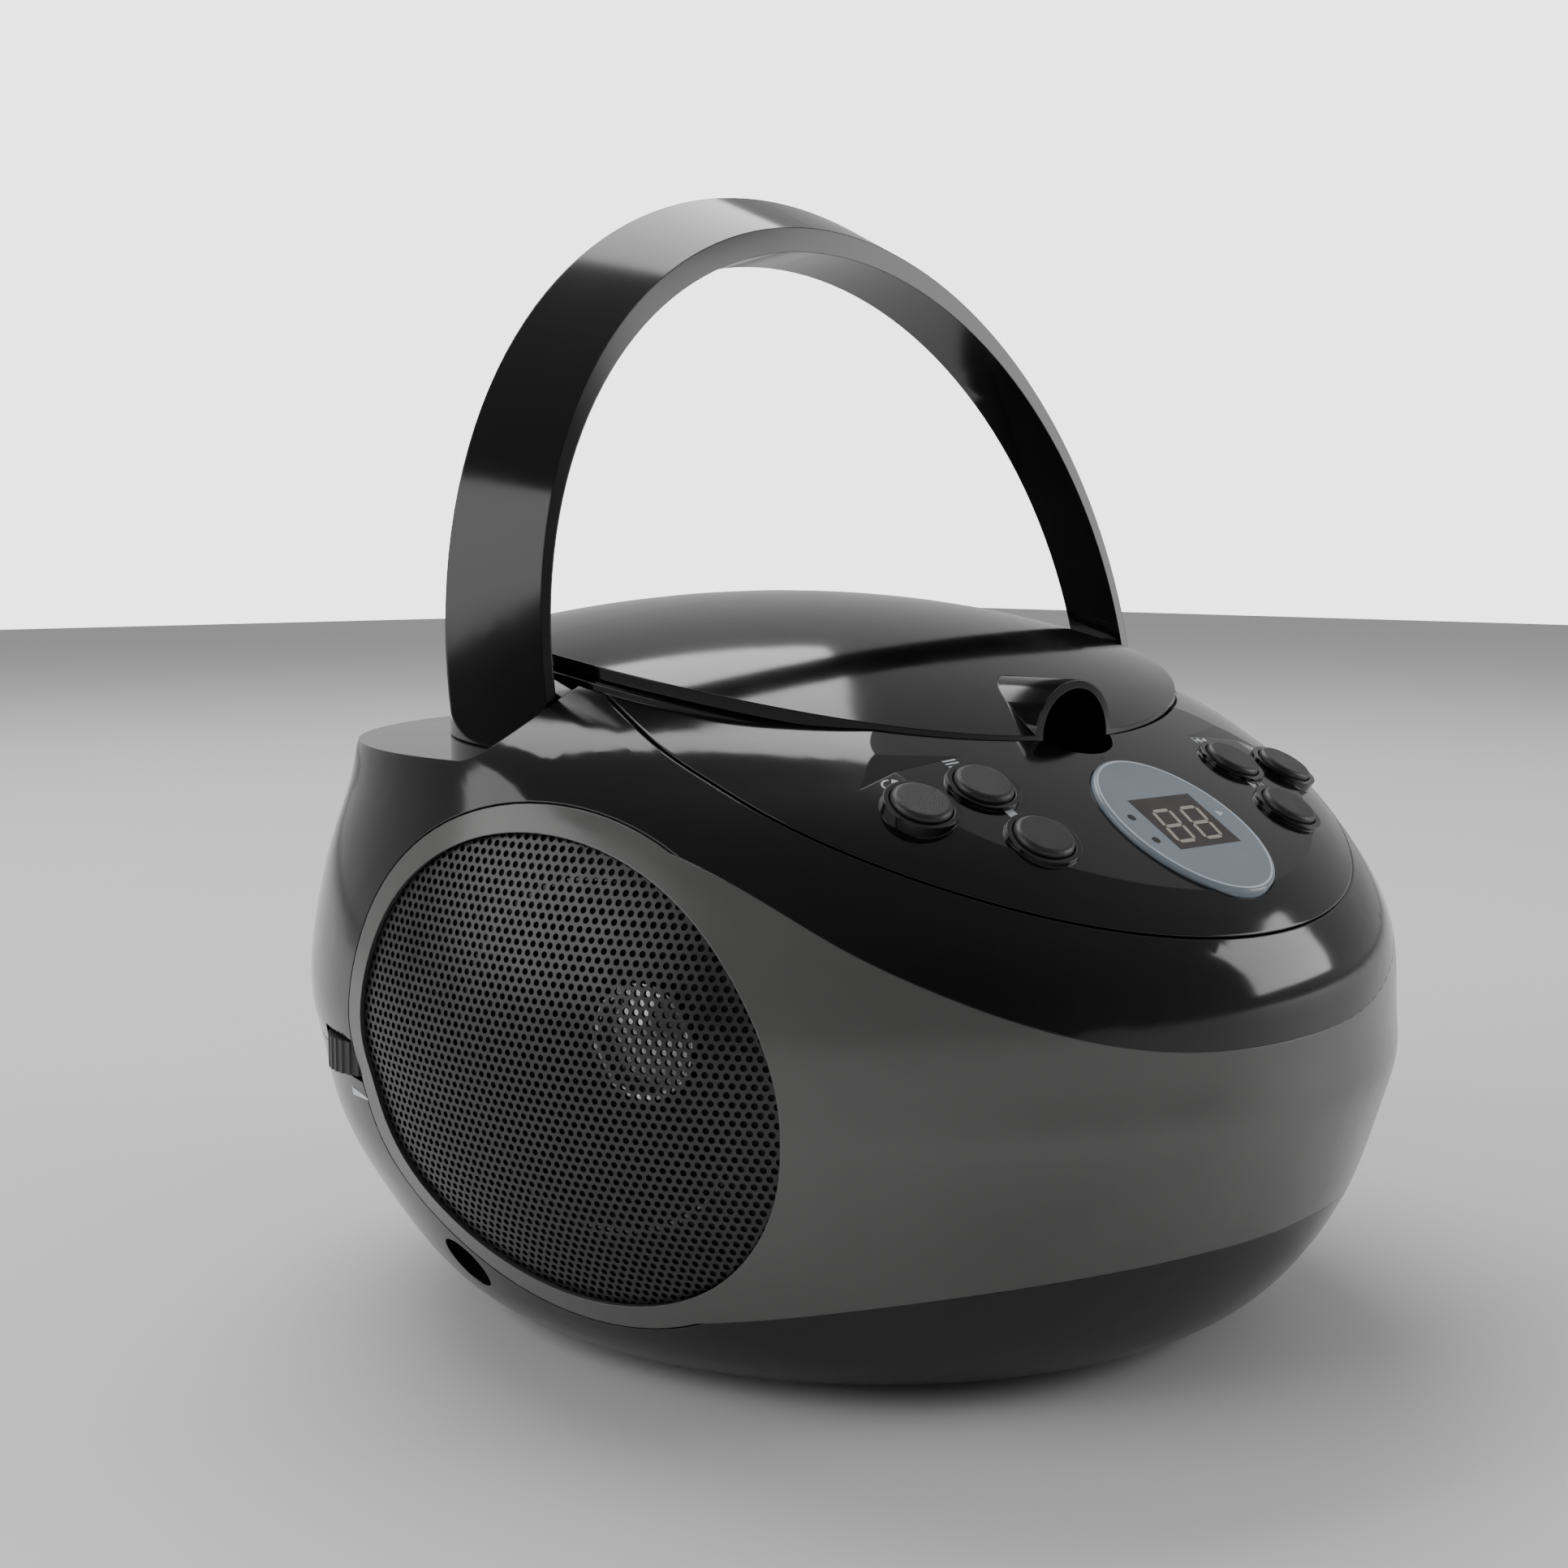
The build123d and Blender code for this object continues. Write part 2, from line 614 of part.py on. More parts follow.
with BuildPart() as display_lens:
    with BuildSketch(display_plane.offset(-1.75)):
        Ellipse(DISPLAY_A, DISPLAY_B)
    extrude(amount=2.45)
    fillet(display_lens.faces().sort_by(Axis.Z)[-1].edges(), 0.6)

with BuildPart() as control_board:
    with BuildSketch(control_plane):
        RectangleRounded(116, 34, 3)
    extrude(amount=-1.6)

with BuildPart() as tact_switches:
    for x, y in BUTTON_SPOTS.values():
        height = 3.4 if abs(x) > 50 else 3.2
        spot = control_plane.to_local_coords(panel_plane(x, y).origin)
        with BuildSketch(control_plane):
            with Locations((spot.X * 0.985, spot.Y)):
                Rectangle(6, 6)
        extrude(amount=height - 0.9)
        with BuildSketch(control_plane):
            with Locations((spot.X * 0.985, spot.Y)):
                Circle(1.7)
        extrude(amount=height)

with BuildPart() as display_module:
    spot = control_plane.to_local_coords(display_plane.origin)
    with BuildSketch(control_plane):
        with Locations((spot.X, spot.Y)):
            Rectangle(25, 20)
    extrude(amount=9)

# ---------------------------------------------------------------- loudspeakers and grilles
grille_front = body_form(1.1)
grille_back = body_form(2.5)
speakers = {}
for side, word in ((-1, "left"), (1, "right")):
    with BuildPart() as grille:
        add(grille_front)
        add(speaker_prism(side, OPEN_A - 0.1, OPEN_B - 0.1, 60, 90), mode=Mode.INTERSECT)
        add(grille_back, mode=Mode.SUBTRACT)
    speakers[f"{word}_grille"] = grille
    with BuildPart() as baffle:
        add(speaker_prism(side, 55.5, 48, BAFFLE_AX - 2.5, 2.5))
        add(body_form(3.2), mode=Mode.INTERSECT)
        with BuildSketch(speaker_plane(side, BAFFLE_AX - 10)):
            Circle(36)
        extrude(amount=20, mode=Mode.SUBTRACT)
        with BuildSketch(Plane.XY.offset(44)):
            with Locations(wheel_spots[side]):
                Circle(18)
        extrude(amount=30, mode=Mode.SUBTRACT)
        with BuildSketch(jack_plane):
            Circle(7.4)
        extrude(amount=-16, mode=Mode.SUBTRACT)
    speakers[f"{word}_baffle"] = baffle
    front = BAFFLE_AX - 2.8
    with BuildPart() as basket:
        with BuildSketch(speaker_plane(side, front)):
            Circle(40)
        extrude(amount=-1.2)
        with BuildSketch(speaker_plane(side, front - 1.2)):
            Circle(38)
        with BuildSketch(speaker_plane(side, front - 22)):
            Circle(22)
        loft()
        with BuildSketch(speaker_plane(side, front)):
            Circle(35.2)
        with BuildSketch(speaker_plane(side, front - 20.8)):
            Circle(20.4)
        loft(mode=Mode.SUBTRACT)
        with BuildSketch(speaker_plane(side, front + 1)):
            Circle(35.2)
        extrude(amount=-1.2, mode=Mode.SUBTRACT)
        with BuildSketch(speaker_plane(side, front - 24)):
            Circle(13)
        extrude(amount=6, mode=Mode.SUBTRACT)
        with BuildSketch(speaker_plane(side, front - 13)):
            with PolarLocations(34, 4, start_angle=45):
                SlotOverall(16, 11, rotation=90)
        extrude(amount=-5, both=True, mode=Mode.SUBTRACT)
    speakers[f"{word}_basket"] = basket
    with BuildPart() as magnet:
        with BuildSketch(speaker_plane(side, front - 22.1)):
            Circle(26)
            Circle(12.6, mode=Mode.SUBTRACT)
        extrude(amount=-11)
        with BuildSketch(speaker_plane(side, front - 33.1)):
            Circle(24)
        extrude(amount=-3)
        with BuildSketch(speaker_plane(side, front - 33.2)):
            Circle(10.4)
        extrude(amount=11)
    speakers[f"{word}_magnet"] = magnet
    with BuildPart() as cone:
        with BuildSketch(speaker_plane(side, front - 2.6)):
            Circle(30)
        with BuildSketch(speaker_plane(side, front - 17.4)):
            Circle(12)
        loft()
        with BuildSketch(speaker_plane(side, front - 1.8)):
            Circle(30)
        with BuildSketch(speaker_plane(side, front - 16.4)):
            Circle(12)
        loft(mode=Mode.SUBTRACT)
        with BuildSketch(speaker_plane(side, front - 17.4)):
            Circle(12.2)
            Circle(11.3, mode=Mode.SUBTRACT)
        extrude(amount=-8)
    speakers[f"{word}_cone"] = cone
    with BuildPart() as cap:
        with BuildSketch(speaker_plane(side, front - 16.3)):
            Circle(11.8)
            Circle(10.6, mode=Mode.SUBTRACT)
        extrude(amount=3)
        with BuildSketch(speaker_plane(side, front - 13.4)):
            Circle(12.4)
        extrude(amount=2.2)
    speakers[f"{word}_dust_cap"] = cap
    with BuildPart() as surround:
        with BuildSketch(speaker_plane(side, front - 1.2)):
            Circle(34.2)
            Circle(31.2, mode=Mode.SUBTRACT)
        extrude(amount=1.8)
    speakers[f"{word}_surround"] = surround

# ---------------------------------------------------------------- disc mechanism
ROD_FRONT, ROD_BACK = 12.0, 62.0
SCREW_X = 22.0
with BuildPart() as cd_chassis:
    with BuildSketch(Plane.XY.offset(108)):
        with Locations((0, WELL_Y + 18)):
            RectangleRounded(62, 96, 4)
        with Locations((0, WELL_Y + 38.5)):
            Rectangle(38, 45, mode=Mode.SUBTRACT)
        with Locations((0, WELL_Y)):
            Circle(5, mode=Mode.SUBTRACT)
    extrude(amount=2)
    for x in (-15, 15):
        for y in (ROD_FRONT, ROD_BACK):
            add(box_between((x - 3, y - 1.5, 109), (x + 3, y + 1.5, 114)))
    add(box_between((19.5, ROD_BACK - 1.5, 109), (24.5, ROD_BACK + 1.5, 114)))
    for y in (ROD_FRONT, ROD_BACK):
        with BuildSketch(Plane.XZ.offset(-y)):
            with Locations((-15, 112), (15, 112)):
                Circle(1.3)
        extrude(amount=2, both=True, mode=Mode.SUBTRACT)
    with BuildSketch(Plane.XZ.offset(-ROD_BACK)):
        with Locations((SCREW_X, 112)):
            Circle(1.56)
    extrude(amount=2, both=True, mode=Mode.SUBTRACT)
with BuildPart() as chassis_mounts:
    with BuildSketch(Plane.XY.offset(110.05)):
        for y in (WELL_Y - 26, WELL_Y + 45):
            with Locations((-27.4, y), (27.4, y)):
                Circle(3.2)
    extrude(amount=6.5)
with BuildPart() as guide_rods:
    with BuildSketch(Plane.XZ.offset(-(ROD_FRONT - 1.5))):
        with Locations((-15, 112), (15, 112)):
            Circle(1.25)
    extrude(amount=-(ROD_BACK - ROD_FRONT + 3))
with BuildPart() as spindle_motor:
    with BuildSketch(Plane.XY.offset(95.8)):
        with Locations((0, WELL_Y)):
            Circle(12)
            Circle(1.06, mode=Mode.SUBTRACT)
    extrude(amount=12.1)
with BuildPart() as turntable:
    with BuildSketch(Plane.XY.offset(97)):
        with Locations((0, WELL_Y)):
            Circle(1)
    extrude(amount=24)
    with BuildSketch(Plane.XY.offset(117.4)):
        with Locations((0, WELL_Y)):
            Circle(14.5)
    extrude(amount=3)
    with BuildSketch(Plane.XY.offset(120.4)):
        with Locations((0, WELL_Y)):
            Circle(7.3)
    extrude(amount=2.8, taper=14)
with BuildPart() as pickup_sled:
    with BuildSketch(Plane.XY.offset(110.4)):
        with Locations((0, WELL_Y + 24)):
            Rectangle(36, 12)
    extrude(amount=5.8)
    add(box_between((17.5, WELL_Y + 21, 111), (20.2, WELL_Y + 27, 113)))
    with BuildSketch(Plane.XZ.offset(0)):
        with Locations((-15, 112), (15, 112)):
            Circle(1.32)
    extrude(amount=-80, mode=Mode.SUBTRACT)
with BuildPart() as pickup_lens:
    with BuildSketch(Plane.XY.offset(116.2)):
        with Locations((0, WELL_Y + 24)):
            Circle(3.4)
    extrude(amount=1.4)
    fillet(pickup_lens.faces().sort_by(Axis.Z)[-1].edges(), 0.8)
with BuildPart() as lead_screw:
    with BuildSketch(Plane.XZ.offset(-(ROD_FRONT + 0.3))):
        with Locations((SCREW_X, 112)):
            Circle(1.5)
    extrude(amount=-(ROD_BACK - ROD_FRONT + 2))
with BuildPart() as sled_motor:
    with BuildSketch(Plane.XZ.offset(-(ROD_FRONT - 20))):
        with Locations((SCREW_X, 113.2)):
            Circle(3.1)
    extrude(amount=-20)

# ---------------------------------------------------------------- electronics
with BuildPart() as main_board:
    add(box_between((-62, -66, BOARD_Z), (28, 36, BOARD_Z + BOARD_T)))
with BuildPart() as board_parts:
    with BuildSketch(Plane.XY.offset(BOARD_Z + BOARD_T)):
        with Locations((-50, -22), (-50, -4), (-34, 16)):
            Circle(6.5)
    extrude(amount=22)
    with BuildSketch(Plane.XY.offset(BOARD_Z + BOARD_T)):
        with Locations((-24, -38), (4, -42)):
            Rectangle(18, 8)
        with Locations((0, -8)):
            Rectangle(14, 14)
        with Locations((-8, 22)):
            Rectangle(26, 8)
    extrude(amount=3)
with BuildPart() as heat_sink:
    with BuildSketch(Plane.XY.offset(BOARD_Z + BOARD_T)):
        with Locations((-12, -58)):
            Rectangle(40, 3)
            with GridLocations(5, 0, 8, 1):
                Rectangle(1.4, 11)
    extrude(amount=24)
with BuildPart() as transformer_core:
    add(box_between((31, -56, 8), (69, -26, 38)))
    add(box_between((37, -60, 13), (47, -20, 33)), mode=Mode.SUBTRACT)
    add(box_between((53, -60, 13), (63, -20, 33)), mode=Mode.SUBTRACT)
with BuildPart() as transformer_coil:
    add(box_between((37.3, -62, 13.3), (62.7, -20, 32.7)))
    add(box_between((46.7, -56.3, 5), (53.3, -25.7, 40)), mode=Mode.SUBTRACT)
with BuildPart() as ferrite_rod:
    with BuildSketch(Plane.YZ.offset(-32)):
        with Locations((-52, 90)):
            Circle(4.5)
    extrude(amount=64)
with BuildPart() as rod_coil:
    with BuildSketch(Plane.YZ.offset(-26)):
        with Locations((-52, 90)):
            Circle(6.4)
            Circle(4.6, mode=Mode.SUBTRACT)
    extrude(amount=22)

# ---------------------------------------------------------------- batteries
CELL_R, CELL_L = 12.9, 50.0
CELL_ROWS = [(74.0, 27.0), (76.0, 54.0), (47.0, 27.0)]
with BuildPart() as battery_box:
    add(box_between((-55.5, 32.3, 12), (55.5, 110, 41.7)))
    add(box_between((-55.5, 61.2, 41), (55.5, 110, 68.6)))
    add(box_between((-54, 33.8, 13.5), (54, 140, 40.2)), mode=Mode.SUBTRACT)
    add(box_between((-54, 62.7, 13.5), (54, 140, 67.1)), mode=Mode.SUBTRACT)
    add(body_form(3.2), mode=Mode.INTERSECT)
    add(box_between((-80, 91, 0), (80, 140, 80)), mode=Mode.SUBTRACT)
with BuildPart() as battery_cells:
    for y, z in CELL_ROWS:
        for x in (-CELL_L - 0.6, 0.6):
            with BuildSketch(Plane.YZ.offset(x)):
                with Locations((y, z)):
                    Circle(CELL_R)
            extrude(amount=CELL_L)
with BuildPart() as battery_contacts:
    for y, z in CELL_ROWS:
        for x in (-53.7, 51.3):
            add(box_between((x, y - 7, z - 7), (x + 2.4, y + 7, z + 7)))

door_block = box_between((-DOOR_X + SEAM, 70, DOOR_LOW + SEAM), (DOOR_X - SEAM, 140, DOOR_HIGH - SEAM))
with BuildPart() as battery_door:
    add(outer)
    add(door_block, mode=Mode.INTERSECT)
    add(body_form(2.4), mode=Mode.SUBTRACT)

# ---------------------------------------------------------------- wheels, sockets, switch, feet, screws
wheels = {}
controls = ((-1, "volume_wheel", "volume_control"), (1, "tuning_wheel", "tuning_capacitor"))
for side, word, part_name in controls:
    with BuildPart() as wheel:
        with BuildSketch(Plane.XY.offset(WHEEL_Z - WHEEL_H / 2)):
            with Locations(wheel_spots[side]):
                Circle(WHEEL_R)
                Circle(3.06, mode=Mode.SUBTRACT)
        extrude(amount=WHEEL_H)
        with BuildSketch(Plane.XY.offset(WHEEL_Z - WHEEL_H / 2 - 0.1)):
            with Locations(wheel_spots[side]):
                with PolarLocations(WHEEL_R + 0.35, 40):
                    Circle(0.8)
        extrude(amount=WHEEL_H + 0.2, mode=Mode.SUBTRACT)
    wheels[word] = wheel
    with BuildPart() as spindle:
        with BuildSketch(Plane.XY.offset(WHEEL_Z - WHEEL_H / 2 - 9)):
            with Locations(wheel_spots[side]):
                Circle(7.5)
        extrude(amount=7)
        with BuildSketch(Plane.XY.offset(WHEEL_Z - WHEEL_H / 2 - 3)):
            with Locations(wheel_spots[side]):
                Circle(3)
        extrude(amount=WHEEL_H + 2)
    wheels[part_name] = spindle

with BuildPart() as jack_socket:
    with BuildSketch(jack_plane.offset(-5.5)):
        Circle(6.4)
        Circle(1.8, mode=Mode.SUBTRACT)
    extrude(amount=-9)
with BuildPart() as ac_inlet:
    with BuildSketch(inlet_plane.offset(-9)):
        RectangleRounded(16.6, 9.6, 2.8)
    extrude(amount=16.6)
    with BuildSketch(inlet_plane.offset(-4)):
        SlotOverall(13.4, 7)
    extrude(amount=20, mode=Mode.SUBTRACT)
    with BuildSketch(inlet_plane.offset(-5)):
        with Locations((-3.6, 0), (3.6, 0)):
            Circle(1.15)
    extrude(amount=9)
with BuildPart() as function_switch:
    with BuildSketch(switch_plane.offset(-7)):
        Rectangle(28, 9)
    extrude(amount=4)
with BuildPart() as function_knob:
    with BuildSketch(switch_plane.offset(-2.8)):
        with Locations((-6.5, 0)):
            Rectangle(8, 4.6)
    extrude(amount=6)
with BuildPart() as rubber_feet:
    with BuildSketch(Plane.XY):
        with GridLocations(2 * FOOT_X, 2 * FOOT_Y, 2, 2):
            Circle(FOOT_R)
    extrude(amount=FOOT_H)
with BuildPart() as case_screws:
    for x, y in SCREW_SPOTS:
        with BuildSketch(Plane.XY.offset(BOSS_LOW + 1.5)):
            with Locations((x, y)):
                Circle(3.2)
        extrude(amount=2.4)
        with BuildSketch(Plane.XY.offset(BOSS_LOW + 3)):
            with Locations((x, y)):
                Circle(1.5)
        extrude(amount=20)

pieces = {
    "lower_housing": lower_housing, "upper_housing": upper_housing, "front_mask": front_mask,
    "top_panel": top_panel, "cd_lid": cd_lid, "handle": handle, "display_lens": display_lens,
    "display_module": display_module, "control_board": control_board,
    "tact_switches": tact_switches, "cd_chassis": cd_chassis, "chassis_mounts": chassis_mounts,
    "guide_rods": guide_rods, "spindle_motor": spindle_motor, "turntable": turntable,
    "pickup_sled": pickup_sled, "pickup_lens": pickup_lens,
    "lead_screw": lead_screw, "sled_motor": sled_motor, "main_board": main_board,
    "board_parts": board_parts, "heat_sink": heat_sink, "transformer_core": transformer_core,
    "transformer_coil": transformer_coil, "ferrite_rod": ferrite_rod, "rod_coil": rod_coil,
    "battery_box": battery_box, "battery_cells": battery_cells,
    "battery_contacts": battery_contacts, "battery_door": battery_door,
    "jack_socket": jack_socket, "ac_inlet": ac_inlet, "function_switch": function_switch,
    "function_knob": function_knob, "rubber_feet": rubber_feet, "case_screws": case_screws,
}
pieces.update(buttons)
pieces.update(speakers)
pieces.update(wheels)
for name, piece in pieces.items():
    piece.part.label = name
    export_step(piece.part, f"parts/{name}.step")
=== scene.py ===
import json
import math
import bpy
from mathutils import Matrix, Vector
from mathutils.bvhtree import BVHTree


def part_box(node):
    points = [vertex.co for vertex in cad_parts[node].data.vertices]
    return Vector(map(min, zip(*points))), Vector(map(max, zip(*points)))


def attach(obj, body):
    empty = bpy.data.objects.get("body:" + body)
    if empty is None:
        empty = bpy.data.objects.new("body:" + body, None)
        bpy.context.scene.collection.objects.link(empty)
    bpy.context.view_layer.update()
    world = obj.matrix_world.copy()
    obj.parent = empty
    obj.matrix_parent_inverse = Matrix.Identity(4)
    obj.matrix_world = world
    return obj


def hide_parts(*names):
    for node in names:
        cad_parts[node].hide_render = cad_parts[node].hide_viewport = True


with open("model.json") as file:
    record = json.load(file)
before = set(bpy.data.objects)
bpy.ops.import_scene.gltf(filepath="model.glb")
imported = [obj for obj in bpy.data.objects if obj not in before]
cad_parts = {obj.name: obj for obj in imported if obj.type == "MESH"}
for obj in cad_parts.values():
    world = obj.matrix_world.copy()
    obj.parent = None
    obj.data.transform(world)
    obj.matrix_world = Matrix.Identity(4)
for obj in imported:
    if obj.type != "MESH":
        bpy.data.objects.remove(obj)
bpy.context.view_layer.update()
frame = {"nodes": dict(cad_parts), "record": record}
nodes = frame["nodes"]
MM = 0.001


# ---------------------------------------------------------------- materials
def plastic(name, colour, rough, rough_spread=0.05, tone=0.12, mottle=60.0, grain=0.0, grain_size=2500.0,
            wave=0.0, metal=0.0, edge=0.0, specular=0.5):
    """Moulded or painted surface: uneven gloss, faint mottling of colour, grain and a slow surface wave."""
    mat = bpy.data.materials.new(name)
    mat.use_nodes = True
    tree = mat.node_tree
    shader = tree.nodes["Principled BSDF"]
    shader.inputs["Metallic"].default_value = metal
    shader.inputs["Specular IOR Level"].default_value = specular
    where = tree.nodes.new("ShaderNodeTexCoord")
    blotch = tree.nodes.new("ShaderNodeTexNoise")
    blotch.inputs["Scale"].default_value = mottle
    blotch.inputs["Detail"].default_value = 4.0
    tree.links.new(where.outputs["Object"], blotch.inputs["Vector"])
    ramp = tree.nodes.new("ShaderNodeValToRGB")
    ramp.color_ramp.elements[0].position = 0.3
    ramp.color_ramp.elements[1].position = 0.7
    ramp.color_ramp.elements[0].color = [c * (1 - tone) for c in colour] + [1]
    ramp.color_ramp.elements[1].color = [min(1, c * (1 + tone)) for c in colour] + [1]
    tree.links.new(blotch.outputs["Fac"], ramp.inputs["Fac"])
    tree.links.new(ramp.outputs["Color"], shader.inputs["Base Color"])
    spread = tree.nodes.new("ShaderNodeMapRange")
    spread.inputs["From Min"].default_value = 0.3
    spread.inputs["From Max"].default_value = 0.7
    spread.inputs["To Min"].default_value = max(0.02, rough - rough_spread)
    spread.inputs["To Max"].default_value = rough + rough_spread
    tree.links.new(blotch.outputs["Fac"], spread.inputs["Value"])
    tree.links.new(spread.outputs["Result"], shader.inputs["Roughness"])
    normal = None
    if edge:
        bevel = tree.nodes.new("ShaderNodeBevel")
        bevel.samples = 4
        bevel.inputs["Radius"].default_value = edge * MM
        normal = bevel.outputs["Normal"]
    for amount, size, depth in ((wave, 22.0, 0.0006), (grain, grain_size, 0.00006)):
        if not amount:
            continue
        noise = tree.nodes.new("ShaderNodeTexNoise")
        noise.inputs["Scale"].default_value = size
        noise.inputs["Detail"].default_value = 2.0
        tree.links.new(where.outputs["Object"], noise.inputs["Vector"])
        bump = tree.nodes.new("ShaderNodeBump")
        bump.inputs["Strength"].default_value = amount
        bump.inputs["Distance"].default_value = depth
        tree.links.new(noise.outputs["Fac"], bump.inputs["Height"])
        if normal:
            tree.links.new(normal, bump.inputs["Normal"])
        normal = bump.outputs["Normal"]
    if normal:
        tree.links.new(normal, shader.inputs["Normal"])
    return mat


LOOKS = {
    "black_gloss": plastic("gloss_black", (0.0045, 0.0045, 0.0055), 0.10, 0.02, 0.2, 30, wave=0.05,
                           edge=0.35),
    "black_satin": plastic("satin_black", (0.007, 0.007, 0.0078), 0.17, 0.03, 0.2, 40, grain=0.05, edge=0.35),
    "grey_mask": plastic("grey_mask", (0.105, 0.105, 0.103), 0.2, 0.03, 0.05, 35, grain=0.04, wave=0.04,
                         edge=0.35),
    "grille_black": plastic("grille_paint", (0.018, 0.018, 0.02), 0.34, 0.06, 0.2, 200, grain=0.2),
    "button_black": plastic("button_black", (0.022, 0.022, 0.024), 0.42, 0.06, 0.2, 300, grain=0.9,
                            grain_size=3200, edge=0.2),
    "board_green": plastic("board_green", (0.02, 0.1, 0.045), 0.4, 0.1, 0.25, 300, grain=0.2),
    "mechanism_grey": plastic("mechanism_grey", (0.05, 0.05, 0.053), 0.45, 0.08, 0.15, 120, grain=0.3,
                              edge=0.2),
    "steel": plastic("steel", (0.55, 0.55, 0.56), 0.32, 0.08, 0.1, 400, metal=1.0, edge=0.15),
    "chrome": plastic("chrome", (0.75, 0.75, 0.77), 0.1, 0.03, 0.05, 200, metal=1.0),
    "aluminium": plastic("aluminium", (0.82, 0.82, 0.84), 0.16, 0.06, 0.06, 500, metal=1.0, wave=0.1),
    "copper_wire": plastic("copper_wire", (0.5, 0.2, 0.08), 0.35, 0.1, 0.3, 900, metal=1.0, grain=0.6),
    "ferrite": plastic("ferrite", (0.035, 0.035, 0.04), 0.6, 0.1, 0.3, 300, grain=0.5),
    "cone_paper": plastic("cone_paper", (0.012, 0.012, 0.012), 0.8, 0.08, 0.3, 500, grain=0.9,
                          grain_size=1400),
    "rubber": plastic("rubber", (0.02, 0.02, 0.02), 0.7, 0.1, 0.3, 300, grain=0.5),
    "cell_jacket": plastic("cell_jacket", (0.09, 0.1, 0.14), 0.25, 0.05, 0.15, 100, metal=0.4),
    "lens_glass": plastic("lens_glass", (0.1, 0.12, 0.3), 0.04, 0.01, 0.1, 100),
    "lens_blue": plastic("lens_blue", (0.24, 0.29, 0.34), 0.1, 0.02, 0.05, 60, wave=0.02, edge=0.3),
}
print_white = plastic("print_white", (0.62, 0.64, 0.66), 0.45, 0.05, 0.06, 900)
window_dark = plastic("window_dark", (0.03, 0.021, 0.021), 0.14, 0.02, 0.5, 160)
segment_beige = plastic("segment_beige", (0.42, 0.39, 0.34), 0.4, 0.05, 0.08, 900)
rim_pale = plastic("rim_pale", (0.6, 0.68, 0.76), 0.12, 0.03, 0.06, 300)
inside_black = plastic("inside_black", (0.012, 0.012, 0.012), 0.5, 0.1, 0.3, 80, grain=0.4)

slot_of = {s["node"]: s["material_slot"] for s in frame["record"]["subparts"]}
for name, obj in nodes.items():
    look = LOOKS[slot_of[name]]
    obj.data.materials.clear()
    obj.data.materials.append(look)
for name in ("left_baffle", "right_baffle"):
    nodes[name].data.materials.clear()
    nodes[name].data.materials.append(inside_black)


# ---------------------------------------------------------------- helpers
def solid_surface(node):
    """Ray test against a CAD node's own mesh, which is in the row frame."""
    mesh = nodes[node].data
    return BVHTree.FromPolygons([v.co[:] for v in mesh.vertices], [p.vertices[:] for p in mesh.polygons])


def make_mesh(name, verts, faces, mat, body, smooth=40.0):
    mesh = bpy.data.meshes.new(name)
    mesh.from_pydata([v[:] for v in verts], [], faces)
    mesh.validate()
    mesh.materials.append(mat)
    if smooth:
        mesh.shade_smooth()
        mesh.set_sharp_from_angle(angle=math.radians(smooth))
    obj = bpy.data.objects.new(name, mesh)
    bpy.context.scene.collection.objects.link(obj)
    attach(obj, body)
    return obj


def top_plane(node):
    """Centre and outward normal of the largest flat upper face of a CAD node."""
    mesh = nodes[node].data
    tally = {}
    for p in mesh.polygons:
        if p.normal.z > 0.3:
            key = tuple(round(c, 2) for c in p.normal)
            tally.setdefault(key, []).append(p)
    group = max(tally.values(), key=lambda ps: sum(q.area for q in ps))
    area = sum(p.area for p in group)
    normal = sum((p.normal * p.area for p in group), Vector()).normalized()
    top = max(v.co.dot(normal) for v in mesh.vertices)
    middle = sum((p.center * p.area for p in group), Vector()) / area
    return middle + normal * (top - middle.dot(normal)), normal


def axes_on(normal):
    """Directions along a surface: across, and up the slope."""
    across = Vector((1, 0, 0)) - normal * normal.x
    across.normalize()
    return across, normal.cross(across)


def plate(name, outline, centre, normal, mat, body, thick=0.12, lift=0.02):
    """Thin closed plate with that outline, in millimetres, laid on a plane."""
    across, up = axes_on(normal)
    n = len(outline)
    low = [centre + (across * x + up * y + normal * lift) * MM for x, y in outline]
    high = [p + normal * thick * MM for p in low]
    faces = [list(range(n, 2 * n)), list(range(n - 1, -1, -1))]
    faces += [[i, (i + 1) % n, n + (i + 1) % n, n + i] for i in range(n)]
    return make_mesh(name, low + high, faces, mat, body, smooth=None)


# ---------------------------------------------------------------- perforated grilles
PITCH, HOLE, PLATE_T = 2.0, 0.66, 0.8
SIDES = 12
REACH = 34  # rows and columns of holes each way from the middle
TURN = math.radians(70)  # from the front round to the loudspeaker's axis
OVAL_A, OVAL_B, OVAL_ROLL = 51.85, 44.35, math.radians(24)
OVAL_Z, OVAL_BACK = 67.0, 5.0  # the oval's middle: its height, and how far behind the loudspeaker's axis
RIM_PULL = 0.998  # keeps rays at the rim on the CAD grille
RAY_FROM = 150.0  # rays start this far out, in millimetres


